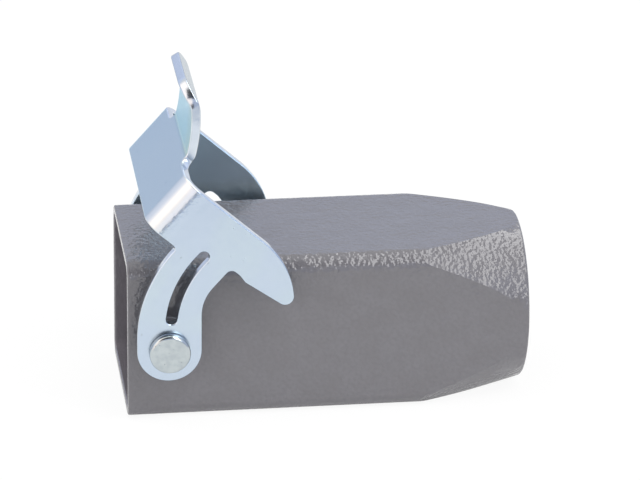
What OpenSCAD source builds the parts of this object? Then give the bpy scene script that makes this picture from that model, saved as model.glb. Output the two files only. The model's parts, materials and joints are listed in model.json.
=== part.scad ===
// Square die-cast coupling hood with a bent sheet-steel locking lever.
// The housing's axis is X: its mouth is at x = 0 and its cable end lies towards +X. Z is up.

/* [Housing] */
// Width and height of the square housing
body_w = 27; // [25:0.5:36]
// Length from the mouth to the cable end
body_len = 65; // [58:0.5:85]
// Radius of the four long edges
edge_r = 2.5; // [1:0.1:4]
// Wall around the pocket, from the mouth to its ledge
mouth_wall = 1.3; // [1.1:0.05:2]
// Wall of the cone around the wire chamber
cone_wall = 2.75; // [2.2:0.05:3.5]
// Depth of the pocket, from the mouth to its ledge
pocket_depth = 12; // [11:0.5:18]
// Corner radius of the pocket and of the wire chamber
pocket_r = 1.4; // [0.8:0.1:3]
// Width of the ledge at the bottom of the pocket
ledge_w = 2.55; // [2:0.05:3]
// Half angle of the cone that turns down the corners
cone_angle = 14; // [10:0.5:20]
// Radius on the rim of the cable end
end_round = 0.5; // [0.2:0.1:1]

/* [Cable entry] */
// Major diameter of the cable entry's thread
entry_d = 20; // [16:0.5:21]
// Wall around the cable entry at the end
entry_wall = 3.6; // [2.5:0.1:5]
// Length of the cable entry's thread
entry_len = 13; // [8:0.5:16]
// Lead-in chamfer of the cable entry
entry_chamfer = 0.8; // [0.3:0.1:1.2]

/* [Insert screw] */
// Core diameter of the insert screw's hole
screw_d = 2.5; // [2:0.1:3.5]
// Depth of the screw's hole
screw_depth = 8; // [5:0.5:12]
// Metal around the screw's hole
screw_wall = 1.9; // [1.2:0.1:2.5]
// Height of the screw's hole above the chamber's floor
screw_rise = 1.3; // [1.3:0.05:3]
// Distance of the screw's boss behind the ledge
screw_set_back = 5; // [2:0.1:7]

/* [Seal] */
// Thickness of the seal along the axis
seal_t = 1.5; // [1:0.1:2.5]
// Width of the seal, round the insert
seal_w = 1.4; // [1:0.1:1.8]
// Gap between the seal and the pocket's wall
seal_gap = 0.1; // [0.05:0.05:0.3]

/* [Pivot] */
// Distance of the lever's pivot from the mouth
pivot_x = 6.35; // [5.5:0.05:8]
// Radius of the cast pivot boss
boss_r = 4.4; // [3.6:0.1:5]
// Radius of the rivet's shoulder, which the lever turns on
shoulder_r = 2.5; // [2.2:0.05:3]
// Running clearance of the lever on the shoulder
run_clear = 0.05; // [0.02:0.01:0.1]
// Side play of each arm, on either face
side_play = 0.15; // [0.1:0.05:0.25]
// Radius of the rivet's shank in the wall
shank_r = 2; // [1.5:0.05:2.1]
// Clearance of the shank in its hole
shank_clear = 0.02; // [0.01:0.01:0.05]
// Radius of the spread tail, flush with the pocket's wall
tail_r = 2.8; // [2.3:0.1:3.2]
// Length of the spread tail
tail_len = 0.8; // [0.5:0.1:1.2]
// Radius of the rivet's head
head_r = 3.3; // [3:0.1:4.2]
// Thickness of the rivet's head
head_t = 1.3; // [0.8:0.1:2]
// Radius on the rim of the rivet's head
head_round = 0.55; // [0.2:0.05:0.7]

/* [Lever] */
// Thickness of the lever's sheet
sheet_t = 1.5; // [1:0.1:2]
// Gap between the housing's flank and each arm
arm_gap = 2; // [1.5:0.1:3]
// Gap between the housing's flank and the bridge plate when they are parallel
bridge_gap = 2.4; // [2:0.1:4]
// Inner radius of the two bends
bend_r = 1.7; // [1:0.1:2.5]
// Angle of the bridge plate above the housing's axis
lever_angle = 48.5; // [5:0.5:175]
// Radius of each arm's round foot
foot_r = 5.15; // [4.6:0.05:6]
// Angle between the neck of an arm and the bridge plate
neck_angle = 41.5; // [35:0.5:50]
// Large radius on the back of an arm
back_r = 23; // [15:0.5:24]
// Distance of an arm's shoulder from the pivot, square to the plate
shoulder_b = 11; // [10:0.1:12]
// Near end of the bridge plate, along the plate from the pivot
bridge_start = 14.1; // [13:0.1:15]
// Far end of the bridge plate, along the plate from the pivot
bridge_end = 23.6; // [22:0.1:27]
// Radius in the corner between the shoulder and the plate
shoulder_r_in = 0.6; // [0.3:0.1:1]

/* [Hook] */
// Distance of the throat's roof from the pivot, square to the plate
throat_b = 1.9; // [1.2:0.1:2.5]
// Radius where the neck runs into the throat
throat_r = 7; // [4:0.5:9]
// Distance of the hook's inner edge from the pivot, along the plate
hook_a = 16.85; // [16:0.05:18]
// Radius at the bottom of the notch
notch_r = 1; // [0.6:0.1:1.3]
// Height of the detent that keeps the peg in the notch
detent = 0.35; // [0.2:0.05:0.6]
// Depth of the notch down to the detent
notch_depth = 3.3; // [3:0.1:4]
// Length of the slope up to the detent
detent_len = 1.4; // [1:0.1:1.8]
// Radius on the detent
detent_r = 0.7; // [0.4:0.1:1]
// Reach of the hook's tip below the pivot, square to the plate
hook_drop = 11.2; // [10:0.1:12.5]
// Lean of the hook's inner edge
hook_lean = 6.5; // [3:0.5:9]
// Slope of the hook's back to the plate
hook_back = 45.8; // [40:0.2:52]
// Radius on the hook's back
hook_back_r = 14; // [8:0.5:16]
// Radius of the hook's tip
tip_r = 1.4; // [1:0.1:1.8]

/* [Slot] */
// Width of the spring slot in each arm
slot_w = 1.8; // [1.4:0.1:2.2]
// Radius of the slot's centre line
slot_r = 18; // [16:0.5:20]
// Distance of the slot's crown from the hook's inner edge
slot_back = 2.2; // [2:0.1:4]
// Height of the slot's crown over the middle of the arm
slot_rise = 0.2; // [0:0.1:0.6]
// Sweep of the slot from its crown towards the plate
slot_lead = 3.3; // [0:0.1:5]
// Sweep of the slot from its crown towards the pivot
slot_sweep = 34.7; // [30:0.1:36]

/* [Tab] */
// Width of the thumb tab
tab_w = 18; // [14:0.2:22]
// Radius in the corners at the tab's root
root_r = 1.2; // [0.8:0.1:2]
// Radius of the tab's two outer corners
corner_r = 4; // [2:0.1:5]
// Flat stretch between the plate and the first bend
tab_flat = 1; // [0.3:0.1:2]
// Turn of the first bend
tab_turn_1 = 28.5; // [20:0.5:35]
// Outer radius of the first bend
tab_r_1 = 1.6; // [1:0.1:5]
// Turn of the long curve
tab_turn_2 = 15; // [8:0.5:20]
// Outer radius of the long curve
tab_r_2 = 26; // [20:0.5:40]
// Turn of the last bend
tab_turn_3 = 28; // [20:0.5:40]
// Outer radius of the last bend
tab_r_3 = 3; // [2:0.1:5]
// Flat stretch at the tip
tab_tip = 3; // [2:0.1:5]

/* [Hidden] */
$fn = 96;
arc_step = 2;
arc_len = 0.15;
over = 1;

half_w = body_w / 2;
pocket_w = body_w - 2 * mouth_wall;
chamber_w = pocket_w - 2 * ledge_w;
seal_out = pocket_w - 2 * seal_gap;
chamber_end = body_len - entry_len;
cable_end_r = entry_d / 2 + entry_wall;
screw_z = screw_rise - chamber_w / 2;
screw_boss_r = screw_d / 2 + screw_wall;
screw_x = pocket_depth + screw_set_back;

boss_face = half_w + arm_gap - side_play;
arm_inner = half_w + arm_gap;
arm_outer = arm_inner + sheet_t;
head_seat = arm_outer + side_play;

plate_inner = half_w + bridge_gap;
plate_outer = plate_inner + sheet_t;
bend_start = plate_inner - bend_r;
bend_outer = bend_r + sheet_t;
tab_turn = tab_turn_1 + tab_turn_2 + tab_turn_3;

// Corners are [x, y, radius]. Each is turned by an arc, kept within the two edges that meet there.
function ring_index(c, i) = (i + len(c)) % len(c);
function edge(c, i) = let (p = c[ring_index(c, i)], q = c[ring_index(c, i + 1)]) [q.x - p.x, q.y - p.y];
function heading(v) = atan2(v.y, v.x);
function turn_between(a, b) = let (t = b - a) t > 180 ? t - 360 : t <= -180 ? t + 360 : t;
function corner_turn(c, i) = turn_between(heading(edge(c, i - 1)), heading(edge(c, i)));
function reach(c, i) = let (k = ring_index(c, i)) c[k].z * tan(abs(corner_turn(c, k)) / 2);
function share(c, i) = min(1, norm(edge(c, i)) / max(0.001, reach(c, i) + reach(c, i + 1)));
function corner_arc(c, i) =
    let (
        r = c[i].z * min(share(c, i - 1), share(c, i)),
        turn = corner_turn(c, i),
        side = sign(turn),
        way = heading(edge(c, i - 1)),
        corner = [c[i].x, c[i].y],
        start = corner - r * tan(abs(turn) / 2) * [cos(way), sin(way)],
        centre = start + side * r * [-sin(way), cos(way)],
        step = max(arc_step, arc_len / max(r, arc_len) * 180 / PI),
        steps = max(1, ceil(abs(turn) / step))
    )
    r < 0.001 ? [corner]
    : [for (k = [0:steps]) let (a = way - side * 90 + turn * k / steps) centre + r * [cos(a), sin(a)]];
function rounded(c) = [for (i = [0:len(c) - 1]) each corner_arc(c, i)];

// Point where a line through p at angle a meets a line through q at angle b
function meet(p, a, q, b) =
    let (k = ((q.x - p.x) * sin(b) - (q.y - p.y) * cos(b)) / sin(b - a)) p + k * [cos(a), sin(a)];

// Turns a shape drawn in Y and Z, and raised along its own axis, to lie along X
module along_x() {
    rotate([90, 0, 90]) children();
}

module rounded_square(w, r) {
    square([w, w - 2 * r], center = true);
    square([w - 2 * r, w], center = true);
    for (y = [-1, 1], z = [-1, 1]) translate([y, z] * (w / 2 - r)) circle(r);
}

// Solid of the cone that turns the corners down, set in by a wall thickness
module turned_cone(inset, rim) {
    end_r = cable_end_r - inset / cos(cone_angle);
    mouth_r = end_r + (body_len + over) * tan(cone_angle);
    along_x() rotate_extrude() polygon(rounded([
        [0, -over, 0],
        [mouth_r, -over, 0],
        [end_r, body_len, rim],
        [0, body_len, 0]
    ]));
}

// Cast boss for the insert's screw, from the chamber's floor
module screw_boss() {
    boss_len = screw_depth + screw_wall;
    floor_z = -chamber_w / 2 - ledge_w;
    translate([screw_x, 0, 0]) along_x() linear_extrude(boss_len) {
        translate([0, screw_z]) circle(screw_boss_r);
        translate([-screw_boss_r, floor_z]) square([2 * screw_boss_r, screw_z - floor_z]);
    }
}

// Hole for a rivet's shank, with the countersink that its tail is spread into
module rivet_hole() {
    translate([pivot_x, 0, 0]) rotate([-90, 0, 0]) {
        cylinder(r = shank_r + shank_clear, h = boss_face + over);
        translate([0, 0, pocket_w / 2 - over]) cylinder(r = tail_r + shank_clear, h = over);
        translate([0, 0, pocket_w / 2])
            cylinder(r1 = tail_r + shank_clear, r2 = shank_r + shank_clear, h = tail_len);
    }
}

module housing() {
    color("#848389") difference() {
        union() {
            intersection() {
                along_x() linear_extrude(body_len) rounded_square(body_w, edge_r);
                turned_cone(0, end_round);
            }
            translate([pivot_x, 0, 0]) rotate([90, 0, 0])
                cylinder(r = boss_r, h = 2 * boss_face, center = true);
        }
        translate([-over, 0, 0]) along_x()
            linear_extrude(pocket_depth + over) rounded_square(pocket_w, pocket_r);
        difference() {
            intersection() {
                along_x() linear_extrude(chamber_end) rounded_square(chamber_w, pocket_r);
                turned_cone(cone_wall, 0);
            }
            screw_boss();
        }
        translate([screw_x - over, 0, screw_z]) along_x() cylinder(d = screw_d, h = screw_depth + over);
        translate([chamber_end - over, 0, 0]) along_x() cylinder(d = entry_d, h = entry_len + 2 * over);
        translate([body_len - entry_chamfer, 0, 0]) along_x()
            cylinder(d1 = entry_d, d2 = entry_d + 2 * (entry_chamfer + over), h = entry_chamfer + over);
        for (side = [0, 180]) rotate([side, 0, 0]) rivet_hole();
    }
}

module mouth_seal() {
    color("#26282b") translate([pocket_depth - seal_t, 0, 0]) along_x() linear_extrude(seal_t) difference() {
        rounded_square(seal_out, pocket_r - seal_gap);
        rounded_square(seal_out - 2 * seal_w, pocket_r - seal_gap);
    }
}

// The lever's own plan: x runs along the bridge plate and y square to it, from the pivot
module arm_outline() {
    neck = [cos(neck_angle), sin(neck_angle)];
    across = [-sin(neck_angle), cos(neck_angle)];
    foot = -foot_r * neck;
    foot_back = foot + foot_r * across;
    foot_front = foot - foot_r * across;
    throat = meet(foot_front, neck_angle, [0, throat_b], 0);
    detent_b = throat_b - notch_depth;
    detent_at = [hook_a - detent, detent_b];
    tip = [detent_at.x + (hook_drop + detent_b) * tan(hook_lean), -hook_drop];
    hook_back_at = meet(tip, hook_back, [bridge_end, 0], 90);
    back = meet(foot_back, neck_angle, [0, shoulder_b], 0);
    polygon(rounded([
        [foot_back.x, foot_back.y, foot_r],
        [foot_front.x, foot_front.y, foot_r],
        [throat.x, throat.y, throat_r],
        [hook_a, throat_b, notch_r],
        [hook_a, detent_b + detent_len, notch_r],
        [detent_at.x, detent_at.y, detent_r],
        [tip.x, tip.y, tip_r],
        [hook_back_at.x, hook_back_at.y, hook_back_r],
        [bridge_end, bend_start, 0],
        [bridge_start, bend_start, 0],
        [bridge_start, shoulder_b, shoulder_r_in],
        [back.x, back.y, back_r]
    ]));
}

// Ring sector about the origin, between two angles
module sector(r_in, r_out, from, to) {
    far = 2 * r_out;
    intersection() {
        difference() {
            circle(r_out);
            circle(r_in);
        }
        polygon([[0, 0], far * [cos(from), sin(from)], far * [cos(to), sin(to)]]);
    }
}

// Curved spring slot, in the middle of the arm
module slot_outline() {
    ends = [90 - slot_lead, 90 + slot_sweep];
    translate([hook_a - slot_back, (shoulder_b + throat_b) / 2 + slot_rise - slot_r]) {
        sector(slot_r - slot_w / 2, slot_r + slot_w / 2, ends[0], ends[1]);
        for (a = ends) translate(slot_r * [cos(a), sin(a)]) circle(d = slot_w);
    }
}

module arm(inner_y) {
    translate([0, inner_y + sheet_t, 0]) rotate([90, 0, 0]) linear_extrude(sheet_t) difference() {
        arm_outline();
        slot_outline();
        circle(shoulder_r + run_clear);
    }
}

// Section of the bridge plate and its two bends, with the tops of the arms
module bridge_section() {
    flat_half = arm_outer - bend_outer;
    leg = (bend_start - shoulder_b) / 2;
    translate([-flat_half, plate_inner]) square([2 * flat_half, sheet_t]);
    for (side = [0, 1]) mirror([side, 0]) {
        translate([flat_half, bend_start]) sector(bend_r, bend_outer, 0, 90);
        translate([arm_inner, bend_start - leg]) square([sheet_t, leg]);
    }
}

// Corners of the tab's side view on one face of the sheet, at a depth below its outer face
function tab_corners(depth) =
    let (
        r = [tab_r_1 + depth, tab_r_2 + depth, tab_r_3 + depth],
        way = [tab_turn_1, tab_turn_1 + tab_turn_2, tab_turn],
        k = [r[0] * tan(tab_turn_1 / 2), r[1] * tan(tab_turn_2 / 2), r[2] * tan(tab_turn_3 / 2)],
        p1 = [bridge_end + tab_flat + k[0], plate_outer - depth],
        p2 = p1 + (k[0] + k[1]) * [cos(way[0]), sin(way[0])],
        p3 = p2 + (k[1] + k[2]) * [cos(way[1]), sin(way[1])],
        p4 = p3 + (k[2] + tab_tip) * [cos(way[2]), sin(way[2])]
    )
    [[bridge_end - sheet_t, plate_outer - depth, 0], [p1.x, p1.y, r[0]], [p2.x, p2.y, r[1]],
     [p3.x, p3.y, r[2]], [p4.x, p4.y, 0]];
function backwards(c) = [for (i = [len(c) - 1:-1:0]) c[i]];

// Side view of the tab's sheet, from inside the plate to the tip
module tab_profile() {
    polygon(rounded(concat(tab_corners(sheet_t), backwards(tab_corners(0)))));
}

// What is cut off an outer corner of the tab, seen from the middle of its tip
module tip_corner() {
    cut_t = sheet_t + corner_r + over;
    translate([-corner_r, tab_w / 2 - corner_r, -sheet_t - over]) difference() {
        cube([corner_r + over, corner_r + over, cut_t]);
        translate([0, 0, -over]) cylinder(r = corner_r, h = cut_t + 2 * over);
    }
}

module tab_sheet(y, w) {
    translate([0, y + w, 0]) rotate([90, 0, 0]) linear_extrude(w) tab_profile();
}

// Sheet that fills the corner between the plate's end and the tab's side
module root_fillet() {
    fill_t = sheet_t + root_r + over;
    intersection() {
        tab_sheet(tab_w / 2 - over, root_r + over);
        translate([bridge_end, tab_w / 2, plate_inner - over]) difference() {
            translate([-over, -over, 0]) cube([root_r + over, root_r + over, fill_t]);
            translate([root_r, root_r, -over]) cylinder(r = root_r, h = fill_t + 2 * over);
        }
    }
}

module locking_lever() {
    tip = tab_corners(0)[4];
    color("#c9d2dc") translate([pivot_x, 0, 0]) rotate([0, -lever_angle, 0]) {
        arm(arm_inner);
        arm(-arm_outer);
        translate([bridge_start, 0, 0]) along_x() linear_extrude(bridge_end - bridge_start) bridge_section();
        difference() {
            tab_sheet(-tab_w / 2, tab_w);
            translate([tip.x, 0, tip.y]) rotate([0, -tab_turn, 0])
                for (side = [0, 1]) mirror([0, side, 0]) tip_corner();
        }
        for (side = [0, 1]) mirror([0, side, 0]) root_fillet();
    }
}

// Shouldered rivet on the +Y side: spread tail, shank, shoulder and round-rimmed head
module pivot_rivet() {
    color("#c4c7c4") translate([pivot_x, 0, 0]) rotate([-90, 0, 0]) rotate_extrude() polygon(rounded([
        [0, pocket_w / 2, 0],
        [tail_r, pocket_w / 2, 0],
        [shank_r, pocket_w / 2 + tail_len, 0],
        [shank_r, boss_face, 0],
        [shoulder_r, boss_face, 0],
        [shoulder_r, head_seat, 0],
        [head_r, head_seat, 0],
        [head_r, head_seat + head_t, head_round],
        [0, head_seat + head_t, 0]
    ]));
}

housing();
mouth_seal();
locking_lever();
mirror([0, 1, 0]) pivot_rivet();  // pivot_rivet_near
pivot_rivet();  // pivot_rivet_far
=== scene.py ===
"""Looks of a square coupling hood with a sheet-steel locking lever, built around its solids."""
import json
import math

import bmesh
import bpy
from mathutils import Matrix, Quaternion, Vector

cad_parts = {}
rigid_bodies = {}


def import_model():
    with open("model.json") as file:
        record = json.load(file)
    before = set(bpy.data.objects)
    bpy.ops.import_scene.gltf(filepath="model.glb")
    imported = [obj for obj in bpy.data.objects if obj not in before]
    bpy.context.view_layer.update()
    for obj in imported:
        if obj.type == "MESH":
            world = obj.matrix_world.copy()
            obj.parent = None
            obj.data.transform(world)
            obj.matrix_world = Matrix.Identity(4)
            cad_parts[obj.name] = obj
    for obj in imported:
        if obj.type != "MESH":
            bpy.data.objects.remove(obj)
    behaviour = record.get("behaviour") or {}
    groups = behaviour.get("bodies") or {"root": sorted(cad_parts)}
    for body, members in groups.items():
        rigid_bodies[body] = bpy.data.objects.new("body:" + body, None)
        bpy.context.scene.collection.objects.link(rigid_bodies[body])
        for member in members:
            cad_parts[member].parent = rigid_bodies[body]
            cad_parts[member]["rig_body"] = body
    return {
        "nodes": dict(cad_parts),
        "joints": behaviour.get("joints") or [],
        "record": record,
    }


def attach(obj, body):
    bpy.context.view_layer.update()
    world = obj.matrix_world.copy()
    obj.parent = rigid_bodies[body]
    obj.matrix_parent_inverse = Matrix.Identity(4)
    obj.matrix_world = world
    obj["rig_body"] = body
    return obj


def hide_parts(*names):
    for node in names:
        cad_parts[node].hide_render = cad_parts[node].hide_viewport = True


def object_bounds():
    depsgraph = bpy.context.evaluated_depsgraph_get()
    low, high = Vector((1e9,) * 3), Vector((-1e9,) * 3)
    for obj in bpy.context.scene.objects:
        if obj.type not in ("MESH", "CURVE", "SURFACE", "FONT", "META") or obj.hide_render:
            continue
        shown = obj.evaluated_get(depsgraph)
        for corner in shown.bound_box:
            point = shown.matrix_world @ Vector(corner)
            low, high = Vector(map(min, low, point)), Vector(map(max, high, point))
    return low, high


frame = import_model()
cad_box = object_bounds()

MM = 0.001
MOUNTS = {mount["name"]: mount for mount in frame["record"]["mounts"]}
PIVOT = Vector(frame["joints"][0]["pos_m"])

# The lever's own frame: a along its bridge plate, b square to the plate, from the pivot
LEVER_ANGLE = math.radians(48.5)
BEND_START_B = 14.2 * MM
BRIDGE_END_A = 23.6 * MM
TAB_TURN = math.radians(71.5)
TAB_TIP_DEPTH = 3 * MM

# Mesh finishing
WELD = 0.004 * MM
SHORTEST_EDGE = 0.03 * MM
SLIVER = 0.012 * MM
FLAT_ANGLE = math.radians(0.2)
SHARP_ANGLE = math.radians(25)
PAINTED_EDGE = 0.28 * MM
SHEET_EDGE = 0.22 * MM
SMALL_EDGE = 0.08 * MM

# Cable entry, with its thread
ENTRY = MOUNTS["cable_entry"]["dims"]
ENTRY_WALL = ENTRY["r_mm"] * MM
ENTRY_CHAMFER = 0.8 * MM
ENTRY_START = cad_box[1].x - ENTRY["length_mm"] * MM - ENTRY_CHAMFER
ENTRY_RIM = ENTRY_WALL + 0.75 * MM
PITCH = 1.5 * MM
THREAD_DEPTH = 0.81 * MM
THREAD_SINK = 0.02 * MM
THREAD_FOOT = 0.42
THREAD_CREST = 0.07
THREAD_RUN_OUT = 1.2 * PITCH
STEPS_PER_TURN = 64

# Insert screw, its boss and the bare metal of its hole
SCREW = MOUNTS["insert_screw"]
SCREW_AT = SCREW["pos_m"]
SCREW_MARGIN = 0.1 * MM
SCREW_RADIUS = SCREW["dims"]["r_mm"] * MM + SCREW_MARGIN
SCREW_REACH = SCREW["dims"]["length_mm"] / 2 * MM + SCREW_MARGIN
SCREW_PITCH = 0.5 * MM
SCREW_RELIEF = 0.05 * MM
BOSS_REACH = 7 * MM
BOSS_ROOM = 3.7 * MM

# Regions of the casting, as the first and last place of a smooth step
CONE_START = 45 * MM
CONE_TAPER = (44 * MM, 68 * MM)
CONE_TAPER_SHARE = 9 * MM
CORNER_BAND = (8.5 * MM, 11.5 * MM)
POCKET_WALL = (12.1 * MM, 12.4 * MM)
POCKET_BACK = (36 * MM, 38 * MM)
BLOB_RELIEF = 0.16 * MM
SWELL_RELIEF = 0.17 * MM

# Regions of the lever, likewise
PLATE_BAND = (BEND_START_B + 1 * MM, BEND_START_B + 2.6 * MM)
BEND_RISE = (BEND_START_B - 1.6 * MM, BEND_START_B + 0.2 * MM)
BEND_FALL = (BEND_START_B + 0.5 * MM, BEND_START_B + 1.3 * MM)
ARM_INNER_FACE = (15.6 * MM, 15.8 * MM)
TAB_ROOT = (BRIDGE_END_A + 0.6 * MM, BRIDGE_END_A + 1.6 * MM)
TAB_TIP = (29 * MM, 31 * MM)
TAB_NEAR_SIDE = (2 * MM, 8 * MM)
RIVET_TAIL = (12.6 * MM, 12.9 * MM)

# Camera
VIEW_AZIMUTH = math.radians(-7.919)
VIEW_ELEVATION = math.radians(23.605)
VIEW_ROLL = math.radians(-0.798)
VIEW_DISTANCE = 644.04 * MM
AIM = Vector((33.04, 3.63, 9.18)) * MM
LENS = 221.74
SENSOR = 36.0

# Floor
FLOOR_HALF = 0.5
FLOOR_CENTRE_Y = 0.365
FLOOR_GAP = 0.02 * MM
FLOOR_GREY = 0.93
FLOOR_GLOW = 0.35
FLOOR_WHITENING = 0.57

# Lamps: azimuth, elevation, distance, width and height, brightness
LAMPS = {
    "overhead": (46, 58, 1.15, (0.95, 0.22), 9.0),
    "ceiling": (-90, 74, 1.2, (0.7, 0.7), 2.5),
    "front_left": (-58, 22, 1.2, (1.6, 0.9), 1.5),
    "front_right": (55, 22, 1.2, (0.8, 0.8), 1.8),
}


class Field:
    """A shader socket. Sums on it add Math nodes, and node() adds any other node beside it."""

    def __init__(self, tree, socket=None):
        self.tree = tree
        self.socket = socket

    def node(self, kind, sockets=None, out=0, **settings):
        """Adds a node: its settings first, then the values or links of its sockets."""
        made = self.tree.nodes.new(kind)
        for name, value in settings.items():
            setattr(made, name, value)
        for name, value in (sockets or {}).items():
            entry = made.inputs[name]
            if isinstance(value, Field):
                self.tree.links.new(value.socket, entry)
            else:
                entry.default_value = value
        return Field(self.tree, made.outputs[out] if made.outputs else None)

    def math(self, operation, *values):
        return self.node("ShaderNodeMath", dict(enumerate(values)), operation=operation)

    def __add__(self, other):
        return self.math("ADD", self, other)

    __radd__ = __add__

    def __mul__(self, other):
        return self.math("MULTIPLY", self, other)

    __rmul__ = __mul__

    def __sub__(self, other):
        return self.math("SUBTRACT", self, other)

    def __rsub__(self, other):
        return self.math("SUBTRACT", other, self)

    def __lt__(self, other):
        return self.math("LESS_THAN", self, other)

    def __gt__(self, other):
        return self.math("GREATER_THAN", self, other)

    def __abs__(self):
        return self.math("ABSOLUTE", self)

    def larger(self, other):
        return self.math("MAXIMUM", self, other)

    def smaller(self, other):
        return self.math("MINIMUM", self, other)

    def ease(self, low, high):
        """0 below low, 1 above high, and a smooth step between them."""
        sockets = {"Value": self, "From Min": low, "From Max": high}
        return self.node("ShaderNodeMapRange", sockets, interpolation_type="SMOOTHSTEP")

    def fade(self, low, high):
        """1 below low, 0 above high, and a smooth step between them."""
        return 1 - self.ease(low, high)

    def band(self, rise, fall):
        """1 between two smooth steps, each a first and a last value, and 0 beyond them."""
        return self.ease(*rise) * self.fade(*fall)

    def mix(self, first, second):
        """A colour from first, where this is 0, to second, where this is 1."""
        sockets = {"Factor": self, 6: first, 7: second}
        return self.node("ShaderNodeMix", sockets, out=2, data_type="RGBA")

    def noise(self, scale, detail=2.0, roughness=0.5, distortion=0.0):
        sockets = {"Vector": self, "Scale": scale, "Detail": detail}
        sockets.update({"Roughness": roughness, "Distortion": distortion})
        return self.node("ShaderNodeTexNoise", sockets)

    def dots(self, scale, size):
        """1 in scattered round spots, whose size is a part of their spacing, and 0 between them."""
        apart = self.node("ShaderNodeTexVoronoi", {"Vector": self, "Scale": scale})
        return apart.fade(size * 0.7, size)

    def stretched(self, scale, rotation=(0, 0, 0), location=(0, 0, 0)):
        sockets = {"Vector": self, "Scale": scale, "Rotation": rotation, "Location": location}
        return self.node("ShaderNodeMapping", sockets)

    def axis(self, index):
        return self.node("ShaderNodeSeparateXYZ", {"Vector": self}, out=index)

    def bump(self, height):
        """Normal of a relief whose height is in metres."""
        return self.node("ShaderNodeBump", {"Height": height, "Distance": 1.0})


def grey(level):
    return (level, level, level, 1)


def material(name, build, **constants):
    """A Principled material. build takes Object coordinates and gives the sockets that vary."""
    made = bpy.data.materials.new(name)
    made.use_nodes = True
    tree = made.node_tree
    shader = tree.nodes["Principled BSDF"]
    for socket, value in constants.items():
        shader.inputs[socket.replace("_", " ")].default_value = value
    place = Field(tree).node("ShaderNodeTexCoord", out="Object")
    for socket, field in build(place).items():
        tree.links.new(field.socket, shader.inputs[socket])
    return made


def lever_place(place):
    """Object coordinates turned into the lever's own frame."""
    turn = Matrix.Rotation(LEVER_ANGLE, 3, "Y")
    return place.stretched((1, 1, 1), (0, LEVER_ANGLE, 0), -(turn @ PIVOT))


def hammer_paint(place):
    """Grey hammered paint, with bare machined metal where the two threads are cut, and painted light
    inside the pocket.
    """
    x, y, z = (place.axis(i) for i in range(3))
    in_entry = (y * y + z * z < ENTRY_RIM ** 2) * (x > ENTRY_START)
    screw_z = z - SCREW_AT[2]
    past_screw = abs(x - SCREW_AT[0])
    in_screw = (y * y + screw_z * screw_z < SCREW_RADIUS ** 2) * (past_screw < SCREW_REACH)
    bare = in_entry.larger(in_screw)

    across = abs(y)
    upright = abs(z)
    towards_corner = across.smaller(upright) + x.ease(*CONE_TAPER) * CONE_TAPER_SHARE
    at_corner = towards_corner.ease(*CORNER_BAND)
    inside = across.larger(upright).fade(*POCKET_WALL) * x.fade(*POCKET_BACK)
    blobs = place.noise(1500, 1, 0.4) - 0.5
    swell = place.noise(260, 1, 0.5)
    hammered = blobs * BLOB_RELIEF * (0.75 + at_corner * 0.25) * (1 - inside * 0.8)
    relief = hammered + swell * SWELL_RELIEF
    screw_turns = x * (2 * math.pi / SCREW_PITCH)
    screw_thread = screw_turns.math("SINE", screw_turns)
    height = relief * (1 - bare) + screw_thread * in_screw * SCREW_RELIEF

    shade = blobs.ease(-0.2, 0.2)
    paint = shade.mix((0.137, 0.133, 0.147, 1), (0.146, 0.142, 0.156, 1))
    cloud = place.noise(240, 3, 0.6).ease(0.3, 0.7) * 0.5
    paint = cloud.mix(paint, (0.127, 0.122, 0.132, 1))
    # Painted light: inside the pocket the paint is lighter than outside, lifting the shade of the recess.
    paint = inside.mix(paint, (0.180, 0.166, 0.187, 1))
    return {
        "Base Color": bare.mix(paint, (0.50, 0.50, 0.49, 1)),
        "Metallic": bare,
        "Roughness": place.noise(480, 2).ease(0.25, 0.75) * 0.04 + 0.10,
        "Normal": place.bump(height),
    }


def plating_film(place):
    """Slow change in the plating's thickness, over the whole lever."""
    return place.noise(85, 1.5, 0.5, 0.8)


def plated_sheet(place):
    """Blue-white zinc plating: a faint play of colour, painted reflections as own colours of the arms'
    inner faces, the plate, the tab and its near side, fine grain, and a coarser grain on the bends.
    """
    own = lever_place(place)
    a, y, b = (own.axis(i) for i in range(3))
    film = plating_film(place)
    colour = film.ease(0.42, 0.72).mix((0.495, 0.573, 0.668, 1), (0.51, 0.595, 0.66, 1))
    mottle = place.noise(650, 3, 0.6).ease(0.35, 0.7) * 0.35
    colour = mottle.mix(colour, (0.46, 0.54, 0.64, 1))
    on_plate = b.ease(*PLATE_BAND)
    inner_face = abs(y).fade(*ARM_INNER_FACE) * (1 - on_plate)
    # Painted reflection: the arms' inner faces, the bridge plate and the tab get colours of their own for
    # what they reflect, not for any change in the plating.
    colour = inner_face.mix(colour, (0.57, 0.70, 0.77, 1))
    colour = on_plate.mix(colour, (0.67, 0.68, 0.65, 1))
    on_tab = a.ease(*TAB_ROOT) * on_plate
    colour = on_tab.mix(colour, (0.49, 0.57, 0.55, 1))
    # Painted reflection too: a warmer, less blue tint on the tab's near side.
    near_side = (0 - y).ease(*TAB_NEAR_SIDE)
    colour = (on_tab * near_side * 0.6).mix(colour, (0.60, 0.57, 0.40, 1))
    specks = place.noise(900, 1, 0.5).ease(0.74, 0.78) * 0.5
    colour = specks.mix(colour, (0.30, 0.33, 0.36, 1))

    on_bend = b.ease(*BEND_RISE) - b.ease(*BEND_FALL)
    grain = place.noise(2000, 2, 0.6) * on_bend * (0.07 * MM)
    fine = place.noise(1500, 2, 0.5) * (0.002 * MM)
    drawn = own.stretched((30, 1, 260), (0, 0.5, 0))
    scratches = drawn.noise(9, 2, 0.5, 0.2).ease(0.70, 0.74)
    height = fine + grain - scratches * (0.001 * MM)
    return {
        "Base Color": colour,
        "Roughness": film * 0.07 + place.noise(2400, 1) * 0.05 + 0.19,
        "Normal": place.bump(height),
    }


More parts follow.
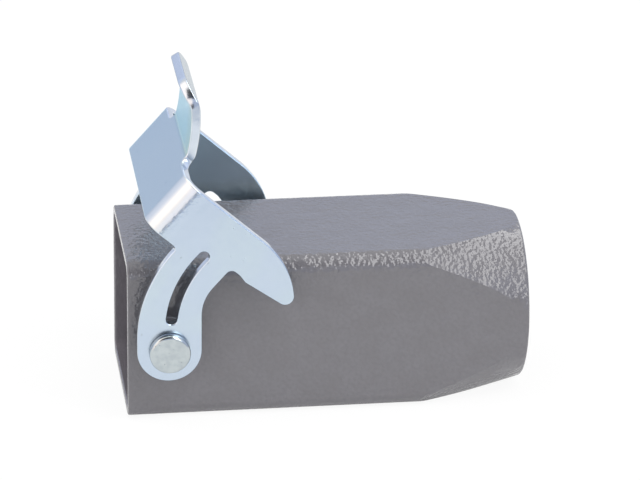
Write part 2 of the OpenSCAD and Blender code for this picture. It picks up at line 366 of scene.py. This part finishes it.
def plated_underside(place):
    """The same plating under the thumb tab, without the play of colour."""
    looks = plated_sheet(place)
    film = plating_film(place)
    looks["Base Color"] = film.ease(0.42, 0.72).mix((0.50, 0.55, 0.57, 1), (0.53, 0.57, 0.57, 1))
    return looks


def sheared_edge(place):
    """The sheet's cut edges: plated too, but drawn out by the press into fine lines, with a painted
    reflection, darker and bluer, at the tab's tip.
    """
    lines = place.stretched((1, 0.12, 1)).noise(2600, 2, 0.55)
    patches = place.noise(420, 2, 0.5)
    colour = patches.ease(0.3, 0.75).mix((0.60, 0.655, 0.70, 1), (0.70, 0.745, 0.785, 1))
    # Painted reflection: the cut edges near the tab's tip take a darker, bluer colour.
    at_tip = lever_place(place).axis(0).ease(*TAB_TIP) * 0.8
    return {
        "Base Color": at_tip.mix(colour, (0.50, 0.55, 0.60, 1)),
        "Roughness": patches * 0.10 + 0.13,
        "Normal": place.bump(lines * (0.005 * MM) + patches * (0.012 * MM)),
    }


def rivet_steel(place):
    """Plated steel of the rivets, pressed flat, with a little mottling, a few pits and a duller tail."""
    tail = abs(place.axis(1)).fade(*RIVET_TAIL)
    mottle = place.noise(700, 2.5, 0.55)
    pits = place.dots(1000, 0.08)
    colour = mottle.ease(0.3, 0.7).mix((0.41, 0.455, 0.475, 1), (0.48, 0.525, 0.54, 1))
    return {
        "Base Color": (pits * 0.7).mix(colour, (0.12, 0.12, 0.11, 1)),
        "Roughness": mottle * 0.12 + tail * 0.3 + 0.12,
        "Normal": place.bump(mottle * (0.012 * MM) - pits * (0.02 * MM)),
    }


def seal_rubber(place):
    """Matt black rubber with a moulded skin."""
    skin = place.noise(2200, 3, 0.6)
    bloom = place.noise(320, 2, 0.5)
    return {
        "Base Color": bloom.ease(0.35, 0.8).mix((0.020, 0.021, 0.022, 1), (0.036, 0.037, 0.038, 1)),
        "Roughness": bloom * 0.2 + 0.52,
        "Normal": place.bump(skin * (0.01 * MM)),
    }


def machined_zinc(place):
    """Bare zinc alloy, turned by the thread cutter."""
    turned = place.stretched((1, 0.08, 0.08)).noise(5200, 2, 0.6)
    tarnish = place.noise(240, 2, 0.55)
    return {
        "Base Color": tarnish.ease(0.3, 0.75).mix((0.47, 0.47, 0.465, 1), (0.58, 0.58, 0.57, 1)),
        "Roughness": tarnish * 0.15 + 0.26,
        "Normal": place.bump(turned * (0.006 * MM)),
    }


PAINT = material("hammer_paint", hammer_paint, IOR=1.58)
SHEET = material("plated_sheet", plated_sheet, Metallic=1.0, Specular_Tint=(0.60, 0.80, 0.98, 1))
UNDERSIDE = material(
    "plated_underside", plated_underside, Metallic=1.0, Specular_Tint=(0.84, 0.86, 0.89, 1))
CUT = material("sheared_edge", sheared_edge, Metallic=1.0)
RIVET = material("plated_rivet", rivet_steel, Metallic=1.0)
RUBBER = material("seal_rubber", seal_rubber)
ZINC = material("machined_zinc", machined_zinc, Metallic=1.0)


def piece(name, bm, materials, body):
    """Makes a finished object of a bmesh and lets it ride on a body."""
    mesh = bpy.data.meshes.new(name)
    for face in bm.faces:
        face.smooth = True
    bm.to_mesh(mesh)
    bm.free()
    for each in materials:
        mesh.materials.append(each)
    made = bpy.data.objects.new(name, mesh)
    bpy.context.scene.collection.objects.link(made)
    even = made.modifiers.new("even_normals", "WEIGHTED_NORMAL")
    even.weight = 100
    even.keep_sharp = True
    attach(made, body)
    return made


def crisp_on_casting(edge):
    """True for edges with no room for a rounding: those on the cone and those of the screw's boss."""
    middle = (edge.verts[0].co + edge.verts[1].co) / 2
    from_screw = middle - Vector(SCREW_AT)
    on_boss = abs(from_screw.x) < BOSS_REACH and math.hypot(from_screw.y, from_screw.z) < BOSS_ROOM
    return middle.x > CONE_START or on_boss


def rounded_copy(node, edge_radius, segments, crisp=lambda edge: False):
    """A welded copy of a node's mesh, its flat faces whole again and its sharp edges rounded.

    Edges picked by crisp are kept as they are and shaded as sharp."""
    bm = bmesh.new()
    bm.from_mesh(frame["nodes"][node].data)
    bmesh.ops.remove_doubles(bm, verts=bm.verts[:], dist=WELD)
    bmesh.ops.dissolve_degenerate(bm, dist=SHORTEST_EDGE, edges=bm.edges[:])
    bmesh.ops.dissolve_limit(bm, angle_limit=FLAT_ANGLE, verts=bm.verts[:], edges=bm.edges[:])
    sharp = [edge for edge in bm.edges if edge.is_manifold and edge.calc_face_angle() > SHARP_ANGLE]
    for edge in sharp:
        edge.smooth = not crisp(edge)
    bmesh.ops.bevel(
        bm, geom=[edge for edge in sharp if edge.smooth], offset=edge_radius, offset_type="OFFSET",
        segments=segments, profile=0.5, affect="EDGES", clamp_overlap=False, material=-1)
    bmesh.ops.remove_doubles(bm, verts=bm.verts[:], dist=SLIVER)
    bmesh.ops.dissolve_degenerate(bm, dist=SLIVER, edges=bm.edges[:])
    return bm


def stand_for(node, name, bm, materials):
    """The finished copy takes its node's place and body, and the node is hidden."""
    made = piece(name, bm, materials, frame["nodes"][node]["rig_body"])
    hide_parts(node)
    return made


def mark_cut_edges(bm):
    """Gives the lever's cut faces, which lie across the sheet, and the tab's underside their materials."""
    outer_face, cut_face, under_face = range(3)
    into = Matrix.Rotation(LEVER_ANGLE, 3, "Y")
    tip_way = Vector((math.cos(TAB_TURN), 0, math.sin(TAB_TURN)))
    tip_reach = max((into @ (v.co - PIVOT)).dot(tip_way) for v in bm.verts)
    for face in bm.faces:
        at = into @ (face.calc_center_median() - PIVOT)
        normal = into @ face.normal
        under = False
        if at.z < BEND_START_B:
            across = abs(normal.y) < 0.6
        elif at.x < BRIDGE_END_A + 0.1 * MM:
            across = abs(normal.x) > 0.6
        else:
            at_tip = at.dot(tip_way) > tip_reach - TAB_TIP_DEPTH
            across = abs(normal.y) > 0.4 or (at_tip and normal.dot(tip_way) > 0.4)
            under = normal.x > 0.2
        face.material_index = cut_face if across else under_face if under else outer_face


def entry_thread():
    """Helical ridge of the cable entry's thread, run out to nothing at both ends."""
    end = cad_box[1].x - ENTRY_CHAMFER
    start = end - ENTRY["length_mm"] * MM + PITCH / 2
    turns = (end - start - PITCH / 2) / PITCH
    profile = [
        (-THREAD_FOOT, THREAD_SINK), (-THREAD_CREST, -THREAD_DEPTH),
        (THREAD_CREST, -THREAD_DEPTH), (THREAD_FOOT, THREAD_SINK)]
    bm = bmesh.new()
    corners = [bm.verts.new((start + along * PITCH, ENTRY_WALL + rise, 0)) for along, rise in profile]
    edges = [bm.edges.new((corners[i - 1], corners[i])) for i in range(len(corners))]
    bmesh.ops.spin(
        bm, geom=corners + edges, cent=(0, 0, 0), axis=(1, 0, 0), dvec=(PITCH / STEPS_PER_TURN, 0, 0),
        angle=turns * 2 * math.pi, steps=round(turns * STEPS_PER_TURN), use_merge=False)
    bmesh.ops.holes_fill(bm, edges=bm.edges[:], sides=len(profile))
    first = min(v.co.x for v in bm.verts)
    last = max(v.co.x for v in bm.verts)
    for vert in bm.verts:
        radius = math.hypot(vert.co.y, vert.co.z)
        room = min(vert.co.x - first, last - vert.co.x)
        fade = min(1.0, max(0.0, room / THREAD_RUN_OUT))
        factor = (ENTRY_WALL - (ENTRY_WALL - radius) * fade) / radius
        vert.co.y *= factor
        vert.co.z *= factor
    bmesh.ops.recalc_face_normals(bm, faces=bm.faces[:])
    return piece("cable_entry_thread", bm, [ZINC], "hood")


def build_hood():
    """The casting, the lever, the two rivets and the seal, each from its solid, and the thread's ridge."""
    casting_mesh = rounded_copy("housing", PAINTED_EDGE, 3, crisp_on_casting)
    stand_for("housing", "hood_casting", casting_mesh, [PAINT])
    lever_mesh = rounded_copy("locking_lever", SHEET_EDGE, 3)
    mark_cut_edges(lever_mesh)
    stand_for("locking_lever", "lever_sheet", lever_mesh, [SHEET, CUT, UNDERSIDE])
    for side in ("near", "far"):
        rivet_mesh = rounded_copy(f"pivot_rivet_{side}", SMALL_EDGE, 2)
        stand_for(f"pivot_rivet_{side}", f"rivet_{side}", rivet_mesh, [RIVET])
    stand_for("mouth_seal", "seal_ring", rounded_copy("mouth_seal", SMALL_EDGE, 2), [RUBBER])
    entry_thread()


def direction(azimuth, elevation):
    """Unit vector from the object towards a place seen from the front, angles in radians."""
    flat = math.cos(elevation)
    return Vector((math.sin(azimuth) * flat, -math.cos(azimuth) * flat, math.sin(elevation)))


def set_camera():
    data = bpy.data.cameras.new("photo_camera")
    data.lens = LENS
    data.sensor_width = SENSOR
    data.clip_start = 0.01
    data.clip_end = 20
    camera = bpy.data.objects.new("photo_camera", data)
    back = direction(VIEW_AZIMUTH, VIEW_ELEVATION)
    camera.location = AIM + back * VIEW_DISTANCE
    camera.rotation_mode = "QUATERNION"
    roll = Quaternion((0, 0, 1), -VIEW_ROLL)
    camera.rotation_quaternion = (-back).to_track_quat("-Z", "Y") @ roll
    bpy.context.scene.collection.objects.link(camera)
    bpy.context.scene.camera = camera


def softbox(name, azimuth, elevation, distance, size, brightness):
    """A flat lamp that faces the hood, its long side to the right. Mirrors and the camera don't see it."""
    data = bpy.data.lights.new(name, "AREA")
    data.shape = "RECTANGLE"
    data.size, data.size_y = size
    data.energy = brightness * size[0] * size[1] * math.pi
    lamp = bpy.data.objects.new(name, data)
    way = direction(math.radians(azimuth), math.radians(elevation))
    right = (Vector((1, 0, 0)) - way * way.x).normalized()
    turned = Matrix((right, way.cross(right), way)).transposed()
    lamp.location = AIM + way * distance
    lamp.rotation_euler = turned.to_euler()
    lamp.visible_camera = False
    lamp.visible_glossy = False
    bpy.context.scene.collection.objects.link(lamp)


def set_floor():
    """Pale floor that glows a little, almost white to the camera, with a soft shadow under the hood."""
    bm = bmesh.new()
    bmesh.ops.create_grid(bm, x_segments=1, y_segments=1, size=FLOOR_HALF)
    bmesh.ops.translate(bm, verts=bm.verts[:], vec=(AIM.x, FLOOR_CENTRE_Y, cad_box[0].z - FLOOR_GAP))
    mesh = bpy.data.meshes.new("floor")
    bm.to_mesh(mesh)
    bm.free()
    floor = bpy.data.objects.new("floor", mesh)
    bpy.context.scene.collection.objects.link(floor)
    made = bpy.data.materials.new("pale_floor")
    made.use_nodes = True
    tree = made.node_tree
    tree.nodes.clear()
    build = Field(tree)
    seen = build.node("ShaderNodeLightPath", out="Is Camera Ray")
    card = build.node("ShaderNodeBsdfDiffuse", {"Color": grey(FLOOR_GREY)})
    white = build.node("ShaderNodeEmission", {"Color": grey(1.0), "Strength": 1.0})
    factor = seen * FLOOR_WHITENING + FLOOR_GLOW
    shader = build.node("ShaderNodeMixShader", {0: factor, 1: card, 2: white})
    build.node("ShaderNodeOutputMaterial", {"Surface": shader})
    mesh.materials.append(made)


def set_world():
    """White to the camera. Mirrors see a studio of cards and dark gaps, and other rays a plain fill.

    climb is the angle over the front's horizon, in degrees, seen along the hood's length."""
    world = bpy.data.worlds.new("studio")
    world.use_nodes = True
    bpy.context.scene.world = world
    tree = world.node_tree
    tree.nodes.clear()
    build = Field(tree)
    camera_ray = build.node("ShaderNodeLightPath", out="Is Camera Ray")
    mirror_ray = build.node("ShaderNodeLightPath", out="Is Glossy Ray")
    through_ray = build.node("ShaderNodeLightPath", out="Is Transmission Ray")
    way = build.node("ShaderNodeTexCoord", out="Generated")
    x, y, z = (way.axis(i) for i in range(3))
    climb = z.math("ARCTAN2", z, 0 - y) * (180 / math.pi)

    front_gap = z.fade(-0.12, -0.06) * y.fade(-0.7, -0.4) * abs(x + 0.16).fade(0.10, 0.15)
    open_front = climb.band((16, 22), (60, 85)) * x.band((-0.60, -0.50), (0.26, 0.34))
    left_low = x.fade(-0.25, -0.12) * y.fade(-0.5, 0.3) * climb.ease(-20, -12)
    left_high = x.fade(-0.45, -0.30) * y.band((-0.30, -0.12), (0.3, 0.6)) * z.ease(0.55, 0.68)
    left_card = left_low.larger(left_high)
    right_card = x.band((0.26, 0.32), (0.53, 0.59)) * climb.band((5, 15), (128, 142))

    sky = z.ease(0.1, 0.4) * 0.3 + 0.8 + left_card
    sky = sky * (1 - front_gap * 0.9) * (1 - open_front * 0.94) + right_card * 4.0
    fill = 0.72 - open_front * 0.62
    level = mirror_ray * sky + (1 - mirror_ray) * fill
    shown = camera_ray.larger(through_ray)
    level = shown + (1 - shown) * level

    blue_low = z.ease(0.42, 0.75).mix((0.83, 0.91, 1.14, 1), grey(1.0))
    tone = (left_card * (1 - open_front)).mix(blue_low, (1.0, 0.87, 0.80, 1))
    tone = (mirror_ray * (1 - right_card)).mix(grey(1.0), tone)
    shader = build.node("ShaderNodeBackground", {"Color": tone, "Strength": level})
    build.node("ShaderNodeOutputWorld", {"Surface": shader})


build_hood()
set_camera()
set_floor()
set_world()
for lamp_name, lamp_values in LAMPS.items():
    softbox(lamp_name, *lamp_values)
bpy.context.scene.view_settings.view_transform = "Standard"
